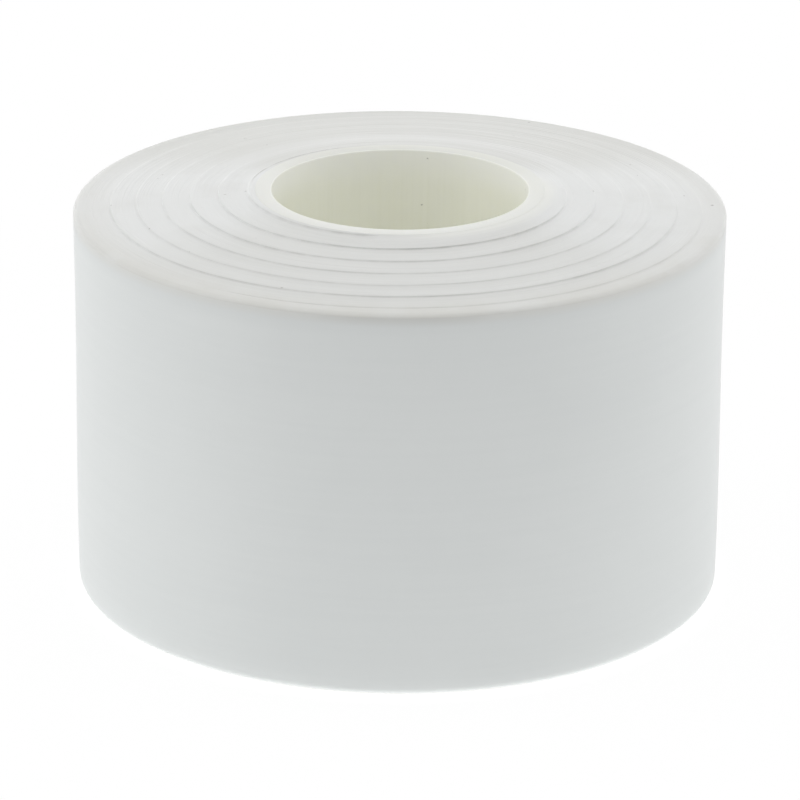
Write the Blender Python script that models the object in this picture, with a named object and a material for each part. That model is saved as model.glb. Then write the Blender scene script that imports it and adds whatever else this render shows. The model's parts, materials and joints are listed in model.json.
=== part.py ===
"""Roll of electrical tape: a plastic core tube, the wound tape on it, and a free end that peels off.

Metres, +Z up. The roll stands on its lower end face, and the origin is at the centre of that face.
The free end is the last stretch of the outermost turn, made as short links that hinge on each other,
because a ribbon bends along its whole length.
"""

import math

import bmesh
import bpy
from mathutils import Matrix, Vector

# Core tube
CORE_BORE_DIAMETER = 0.025
CORE_WALL = 0.0016
CORE_EDGE_CHAMFER = 0.0003

# Tape
TAPE_WIDTH = 0.038
TAPE_THICKNESS = 0.000127
TAPE_LENGTH = 20.0
BOND_GAP = 0.00005

# End faces, cut with a knife that is fed inwards while the roll turns
END_FACE_RISE = 0.00175
RIM_LAND = 0.0015
RIM_ROUNDING = 0.0005
KNIFE_FEED = 0.00266
KNIFE_LEDGE = 0.00016
KNIFE_EXIT_ANGLE = math.radians(263)

# Free end, on the back of the roll, and the root that leads up to it
FREE_END_LENGTH = 0.0625
FREE_END_LINKS = 6
FREE_END_MIDDLE_ANGLE = math.radians(95)
LINK_GAP = 0.00005
ROOT_LENGTH = 0.017
ROOT_EDGE_THICKNESS = 0.00002

# Facets
ROUND_SEGMENTS = 72
RIM_SEGMENTS = 3
LINK_SEGMENTS = 6
ROOT_SEGMENTS = 10
SMOOTH_ANGLE = math.radians(20)
WELD_DISTANCE = TAPE_THICKNESS / 1000

# Colours, as linear red, green and blue, and how rough the surfaces are
TAPE_WHITE = (0.78, 0.80, 0.79)
TAPE_ROUGHNESS = 0.45
CORE_CREAM = (0.80, 0.80, 0.68)
CORE_ROUGHNESS = 0.5

TURN = math.tau
CORE_INNER_RADIUS = CORE_BORE_DIAMETER / 2
CORE_OUTER_RADIUS = CORE_INNER_RADIUS + CORE_WALL
WINDING_INNER_RADIUS = CORE_OUTER_RADIUS + BOND_GAP
# The end of the winding has the area of the tape seen edge on.
WINDING_RADIUS = math.sqrt(WINDING_INNER_RADIUS**2 + TAPE_LENGTH * TAPE_THICKNESS / math.pi)
LAND_RADIUS = WINDING_RADIUS - RIM_ROUNDING - RIM_LAND
LEDGE_FADE = KNIFE_FEED / 2
KNIFE_TURNS = math.ceil((LAND_RADIUS - WINDING_INNER_RADIUS) / KNIFE_FEED)
FREE_END_INNER_RADIUS = WINDING_RADIUS + BOND_GAP
FREE_END_RADIUS = FREE_END_INNER_RADIUS + TAPE_THICKNESS
LINK_ARC = FREE_END_LENGTH / FREE_END_LINKS / FREE_END_RADIUS
LINK_GAP_ARC = LINK_GAP / FREE_END_RADIUS
ROOT_ARC = ROOT_LENGTH / FREE_END_RADIUS
ROOT_START_ANGLE = FREE_END_MIDDLE_ANGLE - LINK_ARC * FREE_END_LINKS / 2 - ROOT_ARC


def plain_material(name, colour, roughness):
    """A Principled material of one colour."""
    material = bpy.data.materials.new(name)
    material.use_nodes = True
    shader = material.node_tree.nodes["Principled BSDF"]
    shader.inputs["Base Color"].default_value = (*colour, 1.0)
    shader.inputs["Roughness"].default_value = roughness
    shader.inputs["Metallic"].default_value = 0.0
    return material


def finished_mesh(name, bm, material):
    """Turns a bmesh into a mesh with outward faces, smooth shading on its round sides and one material."""
    bmesh.ops.recalc_face_normals(bm, faces=bm.faces)
    mesh = bpy.data.meshes.new(name)
    bm.to_mesh(mesh)
    bm.free()
    mesh.materials.append(material)
    mesh.shade_smooth()
    mesh.set_sharp_from_angle(angle=SMOOTH_ANGLE)
    return mesh


def placed_object(name, mesh, parent, matrix):
    """Adds an object to the scene, placed relative to its parent."""
    part = bpy.data.objects.new(name, mesh)
    bpy.context.scene.collection.objects.link(part)
    part.parent = parent
    part.matrix_local = matrix
    return part


def closed_outline(bm, points):
    """Adds a ring of edges through points and returns its vertices and edges."""
    corners = [bm.verts.new(point) for point in points]
    edges = [bm.edges.new((corners[i - 1], corners[i])) for i in range(len(corners))]
    return corners + edges


def core_mesh(material):
    """A tube with chamfered rims, turned from its wall section."""
    low, high = END_FACE_RISE, END_FACE_RISE + TAPE_WIDTH
    inner, outer, cut = CORE_INNER_RADIUS, CORE_OUTER_RADIUS, CORE_EDGE_CHAMFER
    section = [
        (inner + cut, low), (outer - cut, low), (outer, low + cut), (outer, high - cut),
        (outer - cut, high), (inner + cut, high), (inner, high - cut), (inner, low + cut),
    ]
    bm = bmesh.new()
    outline = closed_outline(bm, [(radius, 0.0, height) for radius, height in section])
    bmesh.ops.spin(
        bm, geom=outline, cent=(0, 0, 0), axis=(0, 0, 1), angle=TURN, steps=ROUND_SEGMENTS, use_merge=True
    )
    return finished_mesh("core_tube", bm, material)


def cut_face(angle):
    """Radius and rise of a cut end face along one radius, from the core to the flat land at the rim.

    The face falls outwards as a cone, broken by the small ledge that the knife leaves. The ledge is
    one spiral, which crosses each radius once for every turn that the knife made.
    """
    points = [(WINDING_INNER_RADIUS, END_FACE_RISE)]
    for turn in range(KNIFE_TURNS + 1):
        radius = min(WINDING_INNER_RADIUS + KNIFE_FEED * (turn + angle / TURN), LAND_RADIUS)
        from_ends = min(radius - WINDING_INNER_RADIUS, LAND_RADIUS - radius)
        half_ledge = KNIFE_LEDGE / 2 * min(1.0, from_ends / LEDGE_FADE)
        rise = END_FACE_RISE * (LAND_RADIUS - radius) / (LAND_RADIUS - WINDING_INNER_RADIUS)
        points.append((radius, rise + half_ledge))
        points.append((radius, rise - half_ledge))
    points.append((LAND_RADIUS, 0.0))
    return points


def winding_section(angle):
    """Radius and height of the whole winding's section at one angle, once round."""
    face = cut_face(angle)
    rim = []
    for step in range(RIM_SEGMENTS + 1):
        lean = math.pi / 2 * step / RIM_SEGMENTS
        inset = RIM_ROUNDING * (1 - math.sin(lean))
        drop = RIM_ROUNDING * (1 - math.cos(lean))
        rim.append((WINDING_RADIUS - inset, drop))
    top = [(radius, TAPE_WIDTH + rise) for radius, rise in face]
    top_rim = [(radius, TAPE_WIDTH - drop) for radius, drop in rim]
    return top + top_rim + rim[::-1] + face[::-1]


def winding_mesh(material):
    """The wound turns as one ring. Its sections are joined in order, and the last lies on the first."""
    bm = bmesh.new()
    columns = []
    for step in range(ROUND_SEGMENTS + 1):
        angle = TURN * step / ROUND_SEGMENTS
        turned = Matrix.Rotation(KNIFE_EXIT_ANGLE - angle, 3, "Z")
        section = winding_section(angle)
        columns.append([bm.verts.new(turned @ Vector((radius, 0.0, height))) for radius, height in section])
    for column, following in zip(columns, columns[1:]):
        for i in range(len(column)):
            bm.faces.new((column[i - 1], column[i], following[i], following[i - 1]))
    bmesh.ops.remove_doubles(bm, verts=bm.verts, dist=WELD_DISTANCE)
    return finished_mesh("tape_winding", bm, material)


def link_mesh(name, material, arc, segments, start_thickness):
    """An arc of tape whose origin is at its start, on the tape's outer face, where its hinge is.

    The tape's inner face lies on the roll. Its thickness grows from start_thickness to the full one.
    """
    low, high = RIM_ROUNDING, TAPE_WIDTH - RIM_ROUNDING
    inner = FREE_END_INNER_RADIUS
    hinge = Vector((FREE_END_RADIUS, 0.0, 0.0))
    bm = bmesh.new()
    previous = None
    for step in range(segments + 1):
        share = step / segments
        angle = LINK_GAP_ARC / 2 + (arc - LINK_GAP_ARC) * share
        outer = inner + start_thickness + (TAPE_THICKNESS - start_thickness) * share
        turned = Matrix.Rotation(angle, 3, "Z")
        section = [(inner, low), (outer, low), (outer, high), (inner, high)]
        places = [turned @ Vector((radius, 0.0, height)) - hinge for radius, height in section]
        corners = [bm.verts.new(place) for place in places]
        if previous is None:
            bm.faces.new(corners)
        else:
            for i in range(len(corners)):
                bm.faces.new((previous[i - 1], previous[i], corners[i], corners[i - 1]))
        previous = corners
    bm.faces.new(previous)
    return finished_mesh(name, bm, material)


def make_free_end(roll_axis, material):
    """The root, then the chain of links. Each is carried by the one before it, and hinges on its far edge."""
    root_mesh = link_mesh("free_end_root", material, ROOT_ARC, ROOT_SEGMENTS, ROOT_EDGE_THICKNESS)
    common_mesh = link_mesh("free_end_link", material, LINK_ARC, LINK_SEGMENTS, TAPE_THICKNESS)
    out_to_surface = Matrix.Translation((FREE_END_RADIUS, 0, 0))
    start = Matrix.Rotation(ROOT_START_ANGLE, 4, "Z") @ out_to_surface
    link = placed_object("free_end_root", root_mesh, roll_axis, start)
    arc = ROOT_ARC
    for number in range(1, FREE_END_LINKS + 1):
        onwards = out_to_surface.inverted() @ Matrix.Rotation(arc, 4, "Z") @ out_to_surface
        link = placed_object(f"free_end_{number:02d}", common_mesh, link, onwards)
        arc = LINK_ARC


def main():
    for old in list(bpy.data.objects):
        bpy.data.objects.remove(old)
    tape = plain_material("white_vinyl_tape", TAPE_WHITE, TAPE_ROUGHNESS)
    core = plain_material("cream_core_plastic", CORE_CREAM, CORE_ROUGHNESS)
    roll_axis = placed_object("roll_axis", None, None, Matrix.Identity(4))
    placed_object("core_tube", core_mesh(core), roll_axis, Matrix.Identity(4))
    placed_object("tape_winding", winding_mesh(tape), roll_axis, Matrix.Identity(4))
    make_free_end(roll_axis, tape)


main()
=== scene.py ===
"""Looks of the roll of electrical tape: wound white vinyl, its knife-cut ends, the core and the free end."""

import json
import math
import random

import bmesh
import bpy
from mathutils import Matrix, Vector

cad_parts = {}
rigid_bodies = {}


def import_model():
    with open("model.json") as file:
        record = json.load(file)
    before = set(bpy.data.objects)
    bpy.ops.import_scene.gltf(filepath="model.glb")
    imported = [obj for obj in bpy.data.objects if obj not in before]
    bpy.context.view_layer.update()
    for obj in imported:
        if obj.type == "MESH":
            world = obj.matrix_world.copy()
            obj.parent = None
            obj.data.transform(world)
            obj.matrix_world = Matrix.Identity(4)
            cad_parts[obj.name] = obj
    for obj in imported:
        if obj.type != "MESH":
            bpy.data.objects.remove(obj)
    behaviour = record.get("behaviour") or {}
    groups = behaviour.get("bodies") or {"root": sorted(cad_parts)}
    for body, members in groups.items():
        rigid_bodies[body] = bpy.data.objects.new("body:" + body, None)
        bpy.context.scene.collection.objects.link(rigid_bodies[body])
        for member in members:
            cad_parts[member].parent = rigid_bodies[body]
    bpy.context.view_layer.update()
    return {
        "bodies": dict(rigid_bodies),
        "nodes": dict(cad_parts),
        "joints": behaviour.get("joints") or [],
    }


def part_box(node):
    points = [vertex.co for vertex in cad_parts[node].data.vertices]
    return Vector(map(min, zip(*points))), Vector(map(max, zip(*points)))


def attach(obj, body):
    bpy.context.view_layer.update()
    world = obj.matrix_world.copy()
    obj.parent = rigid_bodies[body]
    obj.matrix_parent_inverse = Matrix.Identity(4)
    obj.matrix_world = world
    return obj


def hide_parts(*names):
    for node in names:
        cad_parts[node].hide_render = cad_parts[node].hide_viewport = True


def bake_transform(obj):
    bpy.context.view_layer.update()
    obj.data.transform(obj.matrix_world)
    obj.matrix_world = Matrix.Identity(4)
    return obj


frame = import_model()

MM = 0.001
TURN = math.tau


def distances_from_axis(node):
    """Smallest and largest distance of a CAD node's corners from the roll's axis."""
    distances = [vertex.co.to_2d().length for vertex in frame["nodes"][node].data.vertices]
    return min(distances), max(distances)


def angle_of(point):
    """Angle round the roll's axis, from +X."""
    return math.atan2(point.y, point.x)


# Sizes that the frame gives
BORE_RADIUS, CORE_RADIUS = distances_from_axis("core_tube")
ROLL_RADIUS = distances_from_axis("tape_winding")[1]
FREE_END_INNER_RADIUS, FREE_END_RADIUS = distances_from_axis("free_end_01")
TAPE_THICKNESS = FREE_END_RADIUS - FREE_END_INNER_RADIUS
END_RISE, CORE_TOP = (corner.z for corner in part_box("core_tube"))
TAPE_WIDTH = CORE_TOP - END_RISE
FREE_END_LOW, FREE_END_HIGH = (corner.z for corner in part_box("free_end_01"))
LINK_NAMES = sorted(name for name in frame["bodies"] if name.startswith("free_end_") and name[-1].isdigit())
HINGE_PLACES = {joint["child"]: Vector(joint["pos_m"]) for joint in frame["joints"]}
HINGE_ANGLES = [angle_of(HINGE_PLACES[name]) for name in LINK_NAMES]
LINK_ARC = HINGE_ANGLES[1] - HINGE_ANGLES[0]
ROOT_START_ANGLE = min(angle_of(vertex.co) for vertex in frame["nodes"]["free_end_root"].data.vertices)

# Rim and side of the winding
RIM_INSET = 0.75 * MM
RIM_DROP = 0.35 * MM
LOWER_RIM_ROUNDING = 0.75 * MM
RIM_SEGMENTS = 6
RIM_LAND = 0.8 * MM
LAND_RADIUS = ROLL_RADIUS - RIM_INSET - RIM_LAND
SIDE_ROWS = 30
SIDE_SWELL = 0.055 * MM
SWELL_HEIGHT = 8.5 * MM

# Knife mark on the cut ends: one spiral ledge, counted in turns outwards from where it starts at the core.
# Each wave of the knife's shake has its number in a turn and its share.
ROUND_STEPS = 240
KNIFE_EXIT_ANGLE = math.radians(263)
KNIFE_FEED = 2.65 * MM
KNIFE_DRIFT = 0.45 * MM
KNIFE_SHAKE = 0.02 * MM
SHAKE_WAVES = ((7.3, 1.0), (17.1, 0.6))
KNIFE_TURNS = (LAND_RADIUS - CORE_RADIUS) / KNIFE_FEED
TURNS_AT_CORE = 2

# Start of the ledge: how far from the core it is, and the turns between which it gets there and back
LEDGE_START = 0.22 * MM
LEDGE_LEAD_IN = (-0.10, 0.0)
LEDGE_LEAD_OUT = (0.02, 0.18)

# Height of the ledge at the front of each turn. It gets low behind, and fades at the spiral's ends.
# Each wave of its waver has its number in a turn, its phase and its share of the height.
LEDGE_HEIGHTS = (0.14 * MM, 0.17 * MM, 0.15 * MM, 0.10 * MM, 0.08 * MM, 0.14 * MM, 0.07 * MM)
LEDGE_BEHIND = 0.1
LEDGE_LOWERS = (0.20, 0.38)
LEDGE_FADE_TURNS = 0.015
WAVER_WAVES = ((2.3, 1.0, 0.15), (9.7, 0.0, 0.12))

# Painted shade along the ledge's step, as far round from the front as it reaches. A stretch of the first
# turn's crest has several times as much, as a painted shadow line by the core.
LOW_LEDGE_SHADE = 0.45
SHADE_REACH_TURNS = 0.26
SHADE_FADE_TURNS = 0.07
CREST_SHADE = 4.0
CREST_SHADE_START = 0.23
CREST_SHADE_END = 0.47

# At the upper end the core stands proud of the innermost turns, apart from where a fillet of them meets it.
# The fillet's ends and starts are parts of a turn.
CORE_PROUD = 0.22 * MM
FILLET_RISE = 0.20 * MM
FILLET_WIDTH = 1.6 * MM
FILLET_ENDS = (0.22, 0.36)
FILLET_STARTS = (0.60, 0.74)

# Beside the ledge's line: offset, and shares of the ledge's height, of its painted shade and of its crest's
# painted shade
LEDGE_PROFILE = (
    (-0.35 * MM, 0.44, 0.0, 0.0), (-0.06 * MM, 0.42, 0.0, 1.0), (-0.02 * MM, 0.36, 1.0, 1.0),
    (0.02 * MM, -0.26, 1.0, 0.0), (0.07 * MM, -0.34, 0.8, 0.0), (0.30 * MM, -0.46, 0.0, 0.0),
    (0.80 * MM, -0.52, 0.0, 0.0),
)

# Uneven tape between the turns of the ledge, less so where a band of it is narrow
BAND_ROWS = 10
UNEVENNESS = 0.006 * MM
UNEVEN_WAVES = (0.61, 1.7)
UNEVEN_SEED = 5
NARROW_BAND = 1.0 * MM

# Core
CORE_STEPS = 192
CORE_INNER_ROUNDING = 0.14 * MM
CORE_OUTER_ROUNDING = 0.05 * MM
CORE_ROUNDING_SEGMENTS = 5

# Free end
STRIP_STEPS = 24
STRIP_ROWS = 8
ROOT_SINK = 0.005 * MM
TIP_LIFT = 0.14 * MM
TIP_LIFT_LENGTH = 3.0 * MM

# Limits for the meshes: what is smooth, sharp, level or one point, how much of a turn a spin leaves open,
# and which way a face looks
SMOOTH_ANGLE = math.radians(50)
SHARP_ANGLE = 1.0
LEVEL_LIMIT = 0.01 * MM
WELD_DISTANCE = 0.0005 * MM
OPEN_SEAM = 1e-6
FACING_DOWN = -0.7
FACING_IN = -0.5

# Finishes. Colours are linear red, green and blue. A pattern that is stretched round the roll has how often
# it changes round it and, for each metre, across it. Any other pattern has how often it changes in a metre.
# Noise keeps mostly to the noise range. Where a colour changes round the roll is a range of a finish's side,
# of that side's square or of its back. A speck is solid up to a share of its size, with a ragged outline.
NOISE_RANGE = (0.3, 0.7)
DUST_AND_SHADE = (0.40, 0.39, 0.37)
SPECK_SOLID = 0.6
SPECK_DETAIL = 0.8
SPECK_RAGGEDNESS = (0.5, 1.5)

# Film: painted shade below the upper edge, and a warm band under the rim that is partly painted shade, darker
# at the front
FILM_WHITE = (0.772, 0.796, 0.789)
FILM_SHADE = (0.752, 0.777, 0.771)
FILM_LINES = (1.3, 1500.0)
FILM_LINES_SHARE = 0.4
FILM_LINES_RELIEF = 0.0015 * MM
FILM_MOTTLE = 60.0
FILM_GRAIN = 6000.0
FILM_GRAIN_RELIEF = 0.003 * MM
FILM_ROUGHNESS = (0.36, 0.43)
FILM_UPPER_SHADE_LEVEL = 0.93
FILM_UPPER_SHADE_SHARE = 0.5
FILM_UPPER_SHADE_HEIGHTS = (TAPE_WIDTH - 2.6 * MM, TAPE_WIDTH - 0.6 * MM)
FILM_RIM_TINT_AND_SHADE = (0.722, 0.728, 0.705)
FILM_RIM_FRONT_SHADE = (0.655, 0.660, 0.638)
FILM_RIM_SHADE_HEIGHTS = (TAPE_WIDTH - 1.4 * MM, TAPE_WIDTH - 0.3 * MM)
SHADED_FRONT_OF_RIM = (-1.0, -0.955)

# Cut edges: their tones, then the painted light at the sides, the warm rim, the painted shade at the rear and
# the stretch beside the core
EDGE_WHITE = (0.752, 0.757, 0.740)
EDGE_SHADE = (0.714, 0.719, 0.701)
EDGE_RINGS = (1.7, 4200.0)
EDGE_RINGS_SHARE = 0.6
EDGE_RINGS_RELIEF = 0.007 * MM
EDGE_TURNS = (3.0, 7700.0)
EDGE_TURNS_RELIEF = 0.03 * MM
EDGE_BANDS = (0.9, 520.0)
EDGE_BANDS_RELIEF = 0.02 * MM
EDGE_PATCHES = 170.0
EDGE_TONES = (0.3, 0.62)
EDGE_ROUGHNESS = (0.36, 0.46)
EDGE_SPECULAR = 0.35
EDGE_SIDE_LIGHT = (0.804, 0.814, 0.808)
LIT_SIDES = (0.45, 0.85)
SIDE_LIGHT_SHARE = 0.9
SIDE_LIGHT_PATCHES = (0.25, 0.55)
SIDE_LIGHT_BETWEEN_PATCHES = 0.5
EDGE_WARM = (0.702, 0.701, 0.669)
WARM_RADII = (ROLL_RADIUS - 5.0 * MM, ROLL_RADIUS - 0.3 * MM)
WARM_PATCHES = (0.3, 0.6)
WARM_BETWEEN_PATCHES = 0.35
WARM_FRONT = (-0.8, 0.0)
WARM_BEHIND = 0.5
EDGE_REAR_SHADE = (0.682, 0.686, 0.660)
SHADED_REAR_OF_EDGES = (0.25, 0.7)
REAR_SHADE_GAP_RADIUS = 18.6 * MM
REAR_SHADE_GAP_WIDTHS = (1.0 * MM, 2.2 * MM)
REAR_SHADE_IN_GAP = 0.35
BESIDE_CORE_SHARE = 0.85
BESIDE_CORE_SIDE = (-0.1, 0.35)
BESIDE_CORE_BACK = (0.0, 0.5)

# Painted shade along the ledge, and specks of dust, on the cut edges. The specks have their number in a metre
# and their size.
LEDGE_SHADE = 0.25
SHADE_BREAKS = (9.0, 900.0)
SHADE_BREAK_RANGE = (0.36, 0.62)
SHADE_IN_BREAKS = 0.3
EDGE_SPECKS = ((300.0, 0.11 * MM), (120.0, 0.19 * MM))
EDGE_SPECK_SHARE = 0.85

# Adhesive
GLUE_PALE = (0.775, 0.780, 0.755)
GLUE_SHADE = (0.750, 0.755, 0.726)
GLUE_LINES = (1.2, 700.0)
GLUE_LINES_SHARE = 0.5
GLUE_LINES_RELIEF = 0.004 * MM
GLUE_MOTTLE = 90.0
GLUE_MOTTLE_RANGE = (0.2, 0.8)
GLUE_PEBBLES = 1500.0
GLUE_PEBBLES_RELIEF = 0.008 * MM
GLUE_TONES = (0.25, 0.75)
GLUE_ROUGHNESS = (0.26, 0.30)

# Core plastic: its tones, then the painted shade at its sides, the painted light of the lip at the top, the
# end ring with painted shade behind, and the specks
CORE_CREAM = (0.955, 0.960, 0.862)
CORE_SHADE = (0.935, 0.940, 0.832)
CORE_LINES = (38.0, 25.0)
CORE_LINES_SHARE = 0.5
CORE_LINES_RELIEF = 0.012 * MM
CORE_MOTTLE = 130.0
CORE_MOTTLE_RELIEF = 0.01 * MM
CORE_TONES = (0.35, 0.65)
CORE_ROUGHNESS = (0.40, 0.52)
CORE_SPECULAR = 0.3
CORE_LIGHT_WEIGHT = 0.1
CORE_LIGHT_REACH = (2.2 * MM, 2.1 * MM, 1.4 * MM)
CORE_SIDE_SHADE = (0.900, 0.905, 0.800)
SHADED_SIDES_OF_CORE = (0.3, 0.9)
CORE_LIP_LIGHT = (0.970, 0.975, 0.920)
CORE_LIP_LIGHT_HEIGHTS = (CORE_TOP - 4.0 * MM, CORE_TOP - 0.3 * MM)
CORE_RING = (0.850, 0.857, 0.816)
CORE_RING_REAR_SHADE = (0.784, 0.791, 0.738)
CORE_RING_RADII = (BORE_RADIUS + 0.05 * MM, BORE_RADIUS + CORE_INNER_ROUNDING)
SHADED_REAR_OF_RING = (0.2, 0.8)
CORE_SPECKS = (420.0, 0.11 * MM)
CORE_SPECK_SHARE = 0.6

# Floor, which glows a little near the roll and shows as nearly white there
PURE_WHITE = (1.0, 1.0, 1.0)
FLOOR_WHITE = (0.88, 0.88, 0.88)
FLOOR_ROUGHNESS = 0.9
FLOOR_SIZE = 3.0
FLOOR_DROP = 0.2 * MM
FLOOR_GLOW = 0.23
FLOOR_GLOW_RADII = (0.06, 0.18)
BORE_GLOW = 0.11
CONTACT_GLOW = 0.6
CONTACT_WIDTH = 1.5 * MM
SEEN_WHITE = 0.93
SEEN_WHITE_RADII = (0.05, 0.12)

# Light: that of the surroundings, then each lamp's name, place, width and height, and brightness
WORLD_LIGHT = 0.31
SOFTBOXES = (
    ("left_panel", (-0.32, -0.02, 0.20), (0.50, 0.36), 0.99),
    ("right_panel", (0.32, 0.02, 0.20), (0.50, 0.36), 0.87),
    ("top_panel", (0.0, 0.05, 0.42), (0.60, 0.50), 0.67),
    ("back_panel", (0.0, 0.50, 0.08), (0.90, 0.14), 0.80),
    ("front_panel", (0.0, -0.40, 0.42), (0.50, 0.30), 0.52),
)

# Camera, fitted to the rims of the roll in the photograph
CAMERA_PLACE = Vector((0.00015, -0.4305, 0.1800))
CAMERA_PITCH = math.radians(20.65)
CAMERA_ROLL = math.radians(0.42)
CAMERA_LENS = 209.3
SENSOR_WIDTH = 36.0

# Socket numbers of a Mix node that mixes colours
MIX_SHARE, MIX_FIRST, MIX_SECOND, MIX_RESULT = 0, 6, 7, 2


class Finish:
    """A Principled material, and short ways to add the nodes of its pattern.

    Its side goes from -1 at the roll's left to 1 at its right, and its back from -1 in front to 1 behind.
    """

    def __init__(self, name):
        self.material = bpy.data.materials.new(name)
        self.material.use_nodes = True
        self.tree = self.material.node_tree
        self.shader = self.tree.nodes["Principled BSDF"]
        self.place = self.add("ShaderNodeTexCoord").outputs["Object"]
        split = self.add("ShaderNodeSeparateXYZ", {"Vector": self.place}).outputs
        self.height = split["Z"]
        level = self.add("ShaderNodeCombineXYZ", {"X": split["X"], "Y": split["Y"]}).outputs[0]
        self.radius = self.vector("LENGTH", {0: level}).outputs["Value"]
        self.around = self.vector("NORMALIZE", {0: level}).outputs[0]
        facing = self.add("ShaderNodeSeparateXYZ", {"Vector": self.around}).outputs
        self.side = facing["X"]
        self.back = facing["Y"]

    def add(self, kind, inputs=None, **settings):
        """Adds a node. Each input is linked if a socket is given for it, and set if a value is."""
        node = self.tree.nodes.new(kind)
        for name, value in settings.items():
            setattr(node, name, value)
        for name, value in (inputs or {}).items():
            self.feed(node.inputs[name], value)
        return node

    def feed(self, socket, value):
        """Links a socket to another, or sets its value."""
        if isinstance(value, bpy.types.NodeSocket):
            self.tree.links.new(value, socket)
        else:
            socket.default_value = value

    def vector(self, operation, inputs):
        """A node that works on vectors."""
        return self.add("ShaderNodeVectorMath", inputs, operation=operation)

    def calc(self, operation, *values):
        """A number worked out from one or two others."""
        return self.add("ShaderNodeMath", dict(enumerate(values)), operation=operation).outputs[0]

    def times(self, first, second):
        """Two numbers multiplied."""
        return self.calc("MULTIPLY", first, second)

    def average(self, first, second, first_share):
        """An average of two patterns, with the first one's share of it."""
        return self.calc("ADD", self.times(first, first_share), self.times(second, 1 - first_share))

    def wrapped(self, across, around, per_metre):
        """A place for a pattern that is stretched round the roll, across its height or its radius."""
        circle = self.vector("SCALE", {0: self.around, "Scale": around}).outputs[0]
        level = self.add("ShaderNodeCombineXYZ", {"Z": self.times(across, per_metre)}).outputs[0]
        return self.vector("ADD", {0: circle, 1: level}).outputs[0]

    def noise(self, place, scale=1.0, detail=2.0, roughness=0.5):
        """Noise from 0 to 1."""
        values = {"Vector": place, "Scale": scale, "Detail": detail, "Roughness": roughness}
        return self.add("ShaderNodeTexNoise", values).outputs["Fac"]

    def ramp(self, value, low, high, from_share=0.0, to_share=1.0):
        """A smooth change from one share to another while a value goes from low to high."""
        values = {"Value": value, "From Min": low, "From Max": high, "To Min": from_share, "To Max": to_share}
        return self.add("ShaderNodeMapRange", values, interpolation_type="SMOOTHSTEP").outputs["Result"]

    def mix(self, share, first, second):
        """A colour between two others."""
        values = {MIX_SHARE: share}
        for number, colour in ((MIX_FIRST, first), (MIX_SECOND, second)):
            values[number] = colour if isinstance(colour, bpy.types.NodeSocket) else (*colour, 1.0)
        return self.add("ShaderNodeMix", values, data_type="RGBA").outputs[MIX_RESULT]

    def specks(self, per_metre, size):
        """Sparse specks of ragged outline: 1 inside a speck, 0 outside."""
        cells = self.add("ShaderNodeTexVoronoi", {"Vector": self.place, "Scale": per_metre})
        ragged = self.ramp(self.noise(self.place, SPECK_DETAIL / size), *NOISE_RANGE, *SPECK_RAGGEDNESS)
        from_middle = self.times(cells.outputs["Distance"], ragged)
        return self.ramp(from_middle, SPECK_SOLID * size * per_metre, size * per_metre, 1.0, 0.0)

    def relief(self, layers):
        """Bump from pairs of a pattern and its height."""
        normal = None
        for pattern, height in layers:
            bump = self.add("ShaderNodeBump", {"Height": pattern, "Distance": height})
            if normal:
                self.feed(bump.inputs["Normal"], normal)
            normal = bump.outputs["Normal"]
        self.feed(self.shader.inputs["Normal"], normal)

    def dress(self, **sockets):
        """Gives the shader its colour and other sockets, named with underscores, and returns the material."""
        for name, value in sockets.items():
            self.feed(self.shader.inputs[name.replace("_", " ")], value)
        return self.material


# Materials


def vinyl_film():
    """Satin film with lines drawn round the roll, a soft mottle and fine grain, with painted shade below its
    upper edge and a warm band under the rim that is partly painted shade, darkest at the front.
    """
    film = Finish("white_vinyl_film")
    lines = film.noise(film.wrapped(film.height, *FILM_LINES), detail=3.0, roughness=0.6)
    mottle = film.noise(film.place, FILM_MOTTLE)
    grain = film.noise(film.place, FILM_GRAIN, detail=1.0)
    tone = film.average(lines, mottle, FILM_LINES_SHARE)
    colour = film.mix(film.ramp(tone, *NOISE_RANGE), FILM_SHADE, FILM_WHITE)
    # Painted shade: the film is darkened below its upper edge, where shade falls under the rim.
    edge = film.ramp(film.height, *FILM_UPPER_SHADE_HEIGHTS, 0.0, FILM_UPPER_SHADE_SHARE)
    colour = film.mix(edge, colour, tuple(FILM_UPPER_SHADE_LEVEL * share for share in FILM_SHADE))
    # A band under the rim: a warm tint that is also painted shade, with darker painted shade at the front.
    rim = film.ramp(film.height, *FILM_RIM_SHADE_HEIGHTS)
    rim_tint_and_shade = film.mix(film.ramp(film.back, *SHADED_FRONT_OF_RIM), FILM_RIM_FRONT_SHADE, FILM_RIM_TINT_AND_SHADE)
    film.relief([(lines, FILM_LINES_RELIEF), (grain, FILM_GRAIN_RELIEF)])
    return film.dress(
        Base_Color=film.mix(rim, colour, rim_tint_and_shade),
        Roughness=film.ramp(mottle, *NOISE_RANGE, *FILM_ROUGHNESS),
    )


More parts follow.
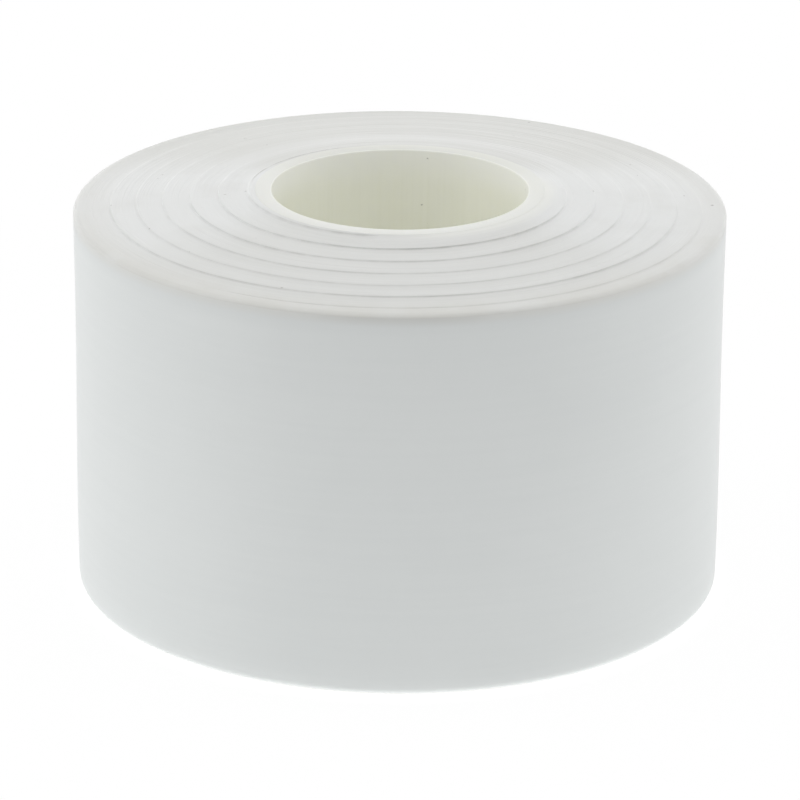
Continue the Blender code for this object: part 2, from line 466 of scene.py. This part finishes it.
def edge_colour(cut, tone, patches):
    """Colour of the cut edges by where they are: painted light at the sides, warm at the rim, painted shade
    behind.
    """
    colour = cut.mix(cut.ramp(tone, *EDGE_TONES), EDGE_SHADE, EDGE_WHITE)
    # Painted light: the cut ends are made paler at the left and right, in patches, where more light falls on
    # them.
    side_light = cut.ramp(cut.times(cut.side, cut.side), *LIT_SIDES, 0.0, SIDE_LIGHT_SHARE)
    side_light = cut.times(side_light, cut.ramp(patches, *SIDE_LIGHT_PATCHES, SIDE_LIGHT_BETWEEN_PATCHES, 1.0))
    colour = cut.mix(side_light, colour, EDGE_SIDE_LIGHT)
    warmth = cut.ramp(cut.radius, *WARM_RADII)
    warmth = cut.times(warmth, cut.ramp(patches, *WARM_PATCHES, WARM_BETWEEN_PATCHES, 1.0))
    warmth = cut.times(warmth, cut.ramp(cut.back, *WARM_FRONT, 1.0, WARM_BEHIND))
    colour = cut.mix(warmth, colour, EDGE_WARM)
    # Painted shade: the cut ends are darkened behind, less so in a band at one radius.
    from_shade_gap = cut.calc("ABSOLUTE", cut.calc("SUBTRACT", cut.radius, REAR_SHADE_GAP_RADIUS))
    outside_shade_gap = cut.ramp(from_shade_gap, *REAR_SHADE_GAP_WIDTHS, REAR_SHADE_IN_GAP, 1.0)
    colour = cut.mix(cut.times(cut.ramp(cut.back, *SHADED_REAR_OF_EDGES), outside_shade_gap), colour, EDGE_REAR_SHADE)
    beside_core = cut.ramp(cut.radius, CORE_RADIUS, CORE_RADIUS + FILLET_WIDTH, BESIDE_CORE_SHARE, 0.0)
    in_front = cut.ramp(cut.back, *BESIDE_CORE_BACK, 1.0, 0.0)
    front_right = cut.times(cut.ramp(cut.side, *BESIDE_CORE_SIDE), in_front)
    return cut.mix(cut.times(beside_core, front_right), colour, CORE_RING)


def shaded_and_specked(cut, colour):
    """A colour with broken painted shade along the knife's ledge, and specks of dust."""
    # Painted shade: the cut ends are darkened along the ledge's step, where its shade falls, broken into
    # stretches.
    painted_shade = cut.add("ShaderNodeAttribute", attribute_name="ledge_shade").outputs["Fac"]
    breaks = cut.noise(cut.wrapped(cut.radius, *SHADE_BREAKS), detail=3.0)
    painted_shade = cut.times(painted_shade, cut.ramp(breaks, *SHADE_BREAK_RANGE, SHADE_IN_BREAKS, 1.0))
    colour = cut.mix(cut.times(painted_shade, LEDGE_SHADE), colour, DUST_AND_SHADE)
    for per_metre, size in EDGE_SPECKS:
        colour = cut.mix(cut.times(cut.specks(per_metre, size), EDGE_SPECK_SHARE), colour, DUST_AND_SHADE)
    return colour


def cut_edges():
    """The knife-cut edges of the turns: fine uneven rings, warmer towards the rim, with specks of dust."""
    cut = Finish("cut_tape_edges")
    rings = cut.noise(cut.wrapped(cut.radius, *EDGE_RINGS), detail=3.0, roughness=0.7)
    turns = cut.noise(cut.wrapped(cut.radius, *EDGE_TURNS), detail=1.0)
    bands = cut.noise(cut.wrapped(cut.radius, *EDGE_BANDS))
    patches = cut.noise(cut.place, EDGE_PATCHES, detail=3.0)
    tone = cut.average(rings, bands, EDGE_RINGS_SHARE)
    cut.relief([(bands, EDGE_BANDS_RELIEF), (rings, EDGE_RINGS_RELIEF), (turns, EDGE_TURNS_RELIEF)])
    return cut.dress(
        Base_Color=shaded_and_specked(cut, edge_colour(cut, tone, patches)),
        Roughness=cut.ramp(rings, *NOISE_RANGE, *EDGE_ROUGHNESS),
        Specular_IOR_Level=EDGE_SPECULAR,
    )


def adhesive():
    """The tacky inner side of the tape, glossier than the film, with the coat's lines and pebbles."""
    glue = Finish("adhesive_side")
    lines = glue.noise(glue.wrapped(glue.height, *GLUE_LINES), detail=3.0, roughness=0.6)
    mottle = glue.noise(glue.place, GLUE_MOTTLE)
    pebbles = glue.noise(glue.place, GLUE_PEBBLES, detail=1.0)
    tone = glue.average(lines, pebbles, GLUE_LINES_SHARE)
    glue.relief([(lines, GLUE_LINES_RELIEF), (pebbles, GLUE_PEBBLES_RELIEF)])
    return glue.dress(
        Base_Color=glue.mix(glue.ramp(tone, *GLUE_TONES), GLUE_SHADE, GLUE_PALE),
        Roughness=glue.ramp(mottle, *GLUE_MOTTLE_RANGE, *GLUE_ROUGHNESS),
    )


def core_plastic():
    """Natural cream plastic that lets a little light in, with the lines of its extrusion along the bore."""
    core = Finish("cream_core_plastic")
    lines = core.noise(core.wrapped(core.height, *CORE_LINES))
    mottle = core.noise(core.place, CORE_MOTTLE, detail=3.0)
    tone = core.average(lines, mottle, CORE_LINES_SHARE)
    colour = core.mix(core.ramp(tone, *CORE_TONES), CORE_SHADE, CORE_CREAM)
    # Painted shade: the bore is darker at its left and right.
    colour = core.mix(core.ramp(core.times(core.side, core.side), *SHADED_SIDES_OF_CORE), colour, CORE_SIDE_SHADE)
    # Painted light: the bore is paler towards its top.
    colour = core.mix(core.ramp(core.height, *CORE_LIP_LIGHT_HEIGHTS), colour, CORE_LIP_LIGHT)
    # Painted shade: the end ring is darker behind.
    ring_with_rear_shade = core.mix(core.ramp(core.back, *SHADED_REAR_OF_RING), CORE_RING, CORE_RING_REAR_SHADE)
    colour = core.mix(core.ramp(core.radius, *CORE_RING_RADII), colour, ring_with_rear_shade)
    colour = core.mix(core.times(core.specks(*CORE_SPECKS), CORE_SPECK_SHARE), colour, DUST_AND_SHADE)
    core.relief([(lines, CORE_LINES_RELIEF), (mottle, CORE_MOTTLE_RELIEF)])
    return core.dress(
        Base_Color=colour,
        Roughness=core.ramp(mottle, *NOISE_RANGE, *CORE_ROUGHNESS),
        Specular_IOR_Level=CORE_SPECULAR,
        Subsurface_Weight=CORE_LIGHT_WEIGHT,
        Subsurface_Radius=CORE_LIGHT_REACH,
        Subsurface_Scale=1.0,
    )


# Pieces


def piece_from(bm, name, materials):
    """Makes a piece from a bmesh, smooth on its round sides."""
    mesh = bpy.data.meshes.new(name)
    bm.to_mesh(mesh)
    bm.free()
    for material in materials:
        mesh.materials.append(material)
    mesh.shade_smooth()
    mesh.set_sharp_from_angle(angle=SMOOTH_ANGLE)
    piece = bpy.data.objects.new(name, mesh)
    bpy.context.scene.collection.objects.link(piece)
    return piece


def round_place(radius, angle, height):
    """A point from its distance from the axis, its angle and its height."""
    return Vector((radius * math.cos(angle), radius * math.sin(angle), height))


def closed_outline(bm, corners):
    """The edges of a ring through vertices."""
    return [bm.edges.new((corners[i - 1], corners[i])) for i in range(len(corners))]


# Shares


def held(value, low, high):
    """A value kept between two others."""
    return min(max(value, low), high)


def smooth_share(share):
    """A share from 0 to 1 that starts and ends gently."""
    share = held(share, 0.0, 1.0)
    return share * share * (3 - 2 * share)


def share_between(value, low, high):
    """A share that goes gently from 0 to 1 while a value goes from low to high."""
    return smooth_share((value - low) / (high - low))


# Winding


def ledge_radius(turns):
    """Radius of the spiral ledge after some turns, counted outwards from the core."""
    start = LEDGE_START * share_between(turns, *LEDGE_LEAD_IN) * (1 - share_between(turns, *LEDGE_LEAD_OUT))
    share = held(turns / KNIFE_TURNS, 0.0, 1.0)
    bulge = math.sin(math.pi * share)
    shake = sum(part * math.sin(TURN * wave * turns) for wave, part in SHAKE_WAVES)
    wander = (KNIFE_DRIFT + KNIFE_SHAKE * shake) * bulge
    return CORE_RADIUS + start + KNIFE_FEED * KNIFE_TURNS * share + wander


def nearest_front(turns):
    """Number of the turn whose front is nearest."""
    return int(held(round(turns), 0, len(LEDGE_HEIGHTS) - 1))


def ledge_height(turns):
    """Height of the ledge: each turn has its own at the front, lower behind, and wavering a little."""
    number = nearest_front(turns)
    waver = 1 + sum(part * math.sin(TURN * wave * turns + phase) for wave, phase, part in WAVER_WAVES)
    front = LEDGE_HEIGHTS[number] * waver
    behind = share_between(abs(turns - number), *LEDGE_LOWERS)
    return front + (LEDGE_BEHIND * LEDGE_HEIGHTS[0] - front) * behind


def ledge_shade(turns):
    """How much painted shade the ledge has, from 0 to 1: more where it is high, and none on the far half of
    the roll.
    """
    number = nearest_front(turns)
    share = smooth_share((SHADE_REACH_TURNS - abs(turns - number)) / SHADE_FADE_TURNS)
    height_share = LEDGE_HEIGHTS[number] / max(LEDGE_HEIGHTS)
    return share * (LOW_LEDGE_SHADE + (1 - LOW_LEDGE_SHADE) * height_share)


def crest_shade(turns):
    """How much painted shade the ledge's crest has: only on a stretch of its first turn, from the left to the
    back.
    """
    # Painted shadow line where the first turn meets the core.
    starts = smooth_share((turns - CREST_SHADE_START) / SHADE_FADE_TURNS)
    ends = smooth_share((CREST_SHADE_END - turns) / SHADE_FADE_TURNS)
    return CREST_SHADE * starts * ends


def cone_rise(radius, turns):
    """Rise of the cut end over its rim, without the ledge but with the fillet, highest at the core."""
    cone = (END_RISE - CORE_PROUD) * (LAND_RADIUS - radius) / (LAND_RADIUS - CORE_RADIUS)
    along = 1 - share_between(turns % 1, *FILLET_ENDS) + share_between(turns % 1, *FILLET_STARTS)
    across = 2 * (1 - share_between(radius, CORE_RADIUS - FILLET_WIDTH, CORE_RADIUS + FILLET_WIDTH))
    return cone + FILLET_RISE * along * across


def ledge_row(turns, offset, height_share, shade_share, crest_share):
    """Radius, rise and painted shade of a row along the ledge, beside its line, between the core and the
    land.
    """
    line = ledge_radius(turns)
    room = LAND_RADIUS - line if offset > 0 else line - CORE_RADIUS
    to_end = min(turns, KNIFE_TURNS - turns)
    fit = held(room / abs(offset), 0.0, 1.0) * held(to_end / LEDGE_FADE_TURNS, 0.0, 1.0)
    radius = line + offset * fit
    rise = held(cone_rise(radius, turns) + height_share * fit * ledge_height(turns), 0.0, END_RISE)
    painted_shade = shade_share * ledge_shade(turns) + crest_share * crest_shade(turns)
    return radius, rise, painted_shade * fit


def band_row(turns, number, phases):
    """Radius, rise and painted shade of a row between two turns of the ledge, on tape that stands a little
    uneven.
    """
    inner_radius, inner_rise = ledge_row(turns, *LEDGE_PROFILE[-1])[:2]
    outer_radius, outer_rise = ledge_row(turns + 1, *LEDGE_PROFILE[0])[:2]
    share = number / (BAND_ROWS + 1)
    waves = sum(math.sin(TURN * (wave * turns + phase)) for wave, phase in zip(UNEVEN_WAVES, phases))
    uneven = UNEVENNESS * waves * held((outer_radius - inner_radius) / NARROW_BAND, 0.0, 1.0)
    radius = inner_radius + (outer_radius - inner_radius) * share
    return radius, inner_rise + (outer_rise - inner_rise) * share + uneven, 0.0


def end_rows():
    """Functions that give the rows of a cut end at a part of a turn, from the core to the rim's land.

    The rows of the turns at the core lie on its edge, up to where the ledge starts.
    """
    draw = random.Random(UNEVEN_SEED)
    phases = [(draw.random(), draw.random()) for number in range(BAND_ROWS + 1)]
    rows = []
    for first in range(-TURNS_AT_CORE, math.ceil(KNIFE_TURNS) + 1):
        for beside in LEDGE_PROFILE:
            rows.append(lambda turn, first=first, beside=beside: ledge_row(first + turn, *beside))
        for number in range(1, BAND_ROWS + 1):
            rows.append(lambda turn, first=first, n=number: band_row(first + turn, n, phases[n]))
    return rows


def side_swell(height):
    """How far the side stands out from the roll's radius: it swells low down and draws in above."""
    return SIDE_SWELL * math.cos(TURN * (height - SWELL_HEIGHT) / TAPE_WIDTH)


def rim_rows(inset, drop):
    """Inset and drop of the rows of a rounded rim, from the land to the side."""
    leans = [math.pi / 2 * step / RIM_SEGMENTS for step in range(RIM_SEGMENTS + 1)]
    return [(inset * (1 - math.sin(lean)), drop * (1 - math.cos(lean))) for lean in leans]


def side_rows():
    """Radius, height and painted shade of the rows from the upper land round the rims to the lower land."""
    rows = [(inset, TAPE_WIDTH - drop) for inset, drop in rim_rows(RIM_INSET, RIM_DROP)]
    side_height = TAPE_WIDTH - RIM_DROP - LOWER_RIM_ROUNDING
    for step in range(1, SIDE_ROWS):
        rows.append((0.0, LOWER_RIM_ROUNDING + side_height * (1 - step / SIDE_ROWS)))
    rows += rim_rows(LOWER_RIM_ROUNDING, LOWER_RIM_ROUNDING)[::-1]
    return [(ROLL_RADIUS + side_swell(height) - inset, height, 0.0) for inset, height in rows]


def make_winding(film, edges):
    """The wound turns. A line of vertices is spun into a sheet, then each is set on its row."""
    ends = end_rows()
    lift = Vector((0.0, TAPE_WIDTH, 0.0))
    places = [lambda turn, row=row: Vector(row(turn)) + lift for row in ends]
    places += [lambda turn, row=row: row for row in side_rows()]
    places += ends[::-1]
    bm = bmesh.new()
    row_layer = bm.verts.layers.int.new("row")
    shade_layer = bm.verts.layers.float.new("ledge_shade")
    line = []
    for number in range(len(places)):
        vertex = bm.verts.new((ROLL_RADIUS, 0.0, number * MM))
        vertex[row_layer] = number
        line.append(vertex)
    # The spin stops just short of a turn, so that its last column is told from its first
    almost_a_turn = TURN * (1 - OPEN_SEAM)
    bmesh.ops.spin(
        bm, geom=line + closed_outline(bm, line), cent=(0, 0, 0), axis=(0, 0, 1), angle=almost_a_turn,
        steps=ROUND_STEPS,
    )
    for vertex in bm.verts:
        turn = round(angle_of(vertex.co) % TURN / TURN * ROUND_STEPS) / ROUND_STEPS
        radius, height, vertex[shade_layer] = places[vertex[row_layer]](turn)
        vertex.co = round_place(radius, KNIFE_EXIT_ANGLE - TURN * turn, height)
    bmesh.ops.remove_doubles(bm, verts=bm.verts, dist=WELD_DISTANCE)
    bmesh.ops.recalc_face_normals(bm, faces=bm.faces)
    for face in bm.faces:
        above_film = face.calc_center_median().z > TAPE_WIDTH - RIM_DROP
        face.material_index = int(above_film or face.normal.z < FACING_DOWN)
    winding = piece_from(bm, "wound_tape", [film, edges])
    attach(winding, "roll")
    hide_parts("tape_winding")


# Core


def core_rims(bm, inside):
    """The sharp edges round the ends of the core, either at its bore or outside."""
    middle = (BORE_RADIUS + CORE_RADIUS) / 2
    rims = []
    for edge in bm.edges:
        level = abs(edge.verts[0].co.z - edge.verts[1].co.z) < LEVEL_LIMIT
        near_bore = [vertex.co.to_2d().length < middle for vertex in edge.verts]
        sharp = edge.calc_face_angle() > SHARP_ANGLE
        if level and sharp and all(near == inside for near in near_bore):
            rims.append(edge)
    return rims


def make_core(plastic):
    """The core tube, with rounded rims."""
    bm = bmesh.new()
    section = [
        (BORE_RADIUS, END_RISE), (CORE_RADIUS, END_RISE), (CORE_RADIUS, CORE_TOP), (BORE_RADIUS, CORE_TOP),
    ]
    corners = [bm.verts.new((radius, 0.0, height)) for radius, height in section]
    bmesh.ops.spin(
        bm, geom=corners + closed_outline(bm, corners), cent=(0, 0, 0), axis=(0, 0, 1), angle=TURN,
        steps=CORE_STEPS, use_merge=True,
    )
    bmesh.ops.recalc_face_normals(bm, faces=bm.faces)
    for inside, rounding in ((True, CORE_INNER_ROUNDING), (False, CORE_OUTER_ROUNDING)):
        bmesh.ops.bevel(
            bm, geom=core_rims(bm, inside), offset=rounding, offset_type="OFFSET", affect="EDGES",
            segments=CORE_ROUNDING_SEGMENTS, profile=0.5, material=-1,
        )
    core = piece_from(bm, "core_sleeve", [plastic])
    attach(core, "roll")
    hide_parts("core_tube")


# Free end


def strip_radius(angle):
    """Radius of the free end's outer face, which climbs out of the winding and lifts at the tip."""
    climb = held((angle - ROOT_START_ANGLE) / (HINGE_ANGLES[0] - ROOT_START_ANGLE), 0.0, 1.0)
    sunk = ROLL_RADIUS - ROOT_SINK
    to_tip = (HINGE_ANGLES[-1] + LINK_ARC - angle) * FREE_END_RADIUS
    lift = TIP_LIFT * held(1 - to_tip / TIP_LIFT_LENGTH, 0.0, 1.0) ** 2
    return sunk + (FREE_END_RADIUS - sunk) * climb + lift


def strip(name, start, end, materials):
    """A stretch of the free end from one angle to another, with the adhesive on its inner side."""
    bm = bmesh.new()
    face_layer = bm.verts.layers.int.new("outer_face")
    width = FREE_END_HIGH - FREE_END_LOW
    heights = [FREE_END_LOW + width * row / STRIP_ROWS for row in range(STRIP_ROWS + 1)]
    corners = []
    for outer, side in ((0, heights), (1, heights[::-1])):
        for height in side:
            vertex = bm.verts.new(round_place(ROLL_RADIUS, start, height))
            vertex[face_layer] = outer
            corners.append(vertex)
    bmesh.ops.spin(
        bm, geom=corners + closed_outline(bm, corners), cent=(0, 0, 0), axis=(0, 0, 1), angle=end - start,
        steps=STRIP_STEPS,
    )
    for vertex in bm.verts:
        angle = angle_of(vertex.co)
        radius = strip_radius(angle) + side_swell(vertex.co.z)
        if not vertex[face_layer]:
            radius -= TAPE_THICKNESS
        vertex.co = round_place(radius, angle, vertex.co.z)
    bmesh.ops.holes_fill(bm, edges=[edge for edge in bm.edges if edge.is_boundary])
    bmesh.ops.recalc_face_normals(bm, faces=bm.faces)
    for face in bm.faces:
        outward = face.calc_center_median().to_2d().normalized().to_3d()
        face.material_index = int(face.normal.dot(outward) < FACING_IN)
    return piece_from(bm, name, materials)


def make_free_end(film, glue):
    """The free end: the root, then stretches that each hold a hinge, from one link's middle to the next's.

    The first stretch starts at its hinge, where the tape leaves the roll, and the last goes on to the tip.
    """
    materials = [film, glue]
    root = strip("free_end_base", ROOT_START_ANGLE, HINGE_ANGLES[0], materials)
    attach(root, "free_end_root")
    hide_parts("free_end_root")
    for number, name in enumerate(LINK_NAMES):
        hinge_angle = HINGE_ANGLES[number]
        start = hinge_angle if name == LINK_NAMES[0] else hinge_angle - LINK_ARC / 2
        end = hinge_angle + (LINK_ARC if name == LINK_NAMES[-1] else LINK_ARC / 2)
        stretch = strip(f"free_end_stretch_{number + 1:02d}", start, end, materials)
        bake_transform(stretch)
        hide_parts(name)


# Studio


def white_when_seen(tree, lit, white, share):
    """Mixes a white glow over a shader for the camera and for reflections, and gives it to the output."""
    paths = tree.nodes.new("ShaderNodeLightPath")
    seen = paths.outputs["Is Camera Ray"]
    for ray in ("Is Glossy Ray", "Is Transmission Ray"):
        either = tree.nodes.new("ShaderNodeMath")
        either.operation = "MAXIMUM"
        tree.links.new(seen, either.inputs[0])
        tree.links.new(paths.outputs[ray], either.inputs[1])
        seen = either.outputs[0]
    part = tree.nodes.new("ShaderNodeMath")
    part.operation = "MULTIPLY"
    tree.links.new(seen, part.inputs[0])
    if isinstance(share, bpy.types.NodeSocket):
        tree.links.new(share, part.inputs[1])
    else:
        part.inputs[1].default_value = share
    mix = tree.nodes.new("ShaderNodeMixShader")
    tree.links.new(part.outputs[0], mix.inputs["Fac"])
    tree.links.new(lit.outputs[0], mix.inputs[1])
    tree.links.new(white.outputs[0], mix.inputs[2])
    output = next(node for node in tree.nodes if node.type.startswith("OUTPUT"))
    tree.links.new(mix.outputs[0], output.inputs["Surface"])


def pale_floor():
    """A pale finish that shows as white to the camera, with a weak glow under and around the roll."""
    finish = Finish("pale_floor")
    wide = finish.ramp(finish.radius, *FLOOR_GLOW_RADII, FLOOR_GLOW, 0.0)
    close = finish.ramp(finish.radius, ROLL_RADIUS, ROLL_RADIUS + CONTACT_WIDTH, CONTACT_GLOW, 0.0)
    close = finish.times(close, finish.ramp(finish.radius, CORE_RADIUS, ROLL_RADIUS))
    inside = finish.ramp(finish.radius, BORE_RADIUS, CORE_RADIUS, BORE_GLOW, 0.0)
    finish.dress(
        Base_Color=(*FLOOR_WHITE, 1.0),
        Roughness=FLOOR_ROUGHNESS,
        Emission_Color=(*PURE_WHITE, 1.0),
        Emission_Strength=finish.calc("ADD", finish.calc("ADD", wide, close), inside),
    )
    glow = finish.add("ShaderNodeEmission", {"Strength": 1.0})
    share = finish.ramp(finish.radius, *SEEN_WHITE_RADII, SEEN_WHITE, 1.0)
    white_when_seen(finish.tree, finish.shader, glow, share)
    return finish.material


def make_floor():
    """The floor, just below the roll, which keeps the roll's shadow."""
    bm = bmesh.new()
    bmesh.ops.create_grid(bm, x_segments=1, y_segments=1, size=FLOOR_SIZE)
    mesh = bpy.data.meshes.new("floor")
    bm.to_mesh(mesh)
    bm.free()
    mesh.materials.append(pale_floor())
    floor = bpy.data.objects.new("floor", mesh)
    floor.location.z = -FLOOR_DROP
    bpy.context.scene.collection.objects.link(floor)


def make_world():
    """Even light from all round, seen by the camera as white."""
    world = bpy.data.worlds.new("studio")
    world.use_nodes = True
    soft = world.node_tree.nodes["Background"]
    soft.inputs["Color"].default_value = (*PURE_WHITE, 1.0)
    soft.inputs["Strength"].default_value = WORLD_LIGHT
    white = world.node_tree.nodes.new("ShaderNodeBackground")
    white.inputs["Color"].default_value = (*PURE_WHITE, 1.0)
    white_when_seen(world.node_tree, soft, white, 1.0)
    bpy.context.scene.world = world


def make_softbox(name, place, size, radiance):
    """An area lamp that faces the roll, given the brightness of its surface."""
    width, height = size
    lamp = bpy.data.lights.new(name, "AREA")
    lamp.shape = "RECTANGLE"
    lamp.size = width
    lamp.size_y = height
    lamp.energy = radiance * math.pi * width * height
    softbox = bpy.data.objects.new(name, lamp)
    softbox.location = place
    towards = Vector((0, 0, TAPE_WIDTH / 2)) - Vector(place)
    softbox.rotation_euler = towards.to_track_quat("-Z", "Y").to_euler()
    softbox.visible_camera = False
    bpy.context.scene.collection.objects.link(softbox)


def make_camera():
    """The camera at the photograph's place."""
    camera = bpy.data.cameras.new("camera")
    camera.lens = CAMERA_LENS
    camera.sensor_width = SENSOR_WIDTH
    camera_object = bpy.data.objects.new("camera", camera)
    turn = Matrix.Rotation(math.pi / 2 - CAMERA_PITCH, 4, "X") @ Matrix.Rotation(CAMERA_ROLL, 4, "Z")
    camera_object.matrix_world = Matrix.Translation(CAMERA_PLACE) @ turn
    bpy.context.scene.collection.objects.link(camera_object)
    bpy.context.scene.camera = camera_object


def main():
    film = vinyl_film()
    make_winding(film, cut_edges())
    make_core(core_plastic())
    make_free_end(film, adhesive())
    make_floor()
    make_world()
    for softbox in SOFTBOXES:
        make_softbox(*softbox)
    make_camera()
    bpy.context.scene.view_settings.view_transform = "Standard"


main()
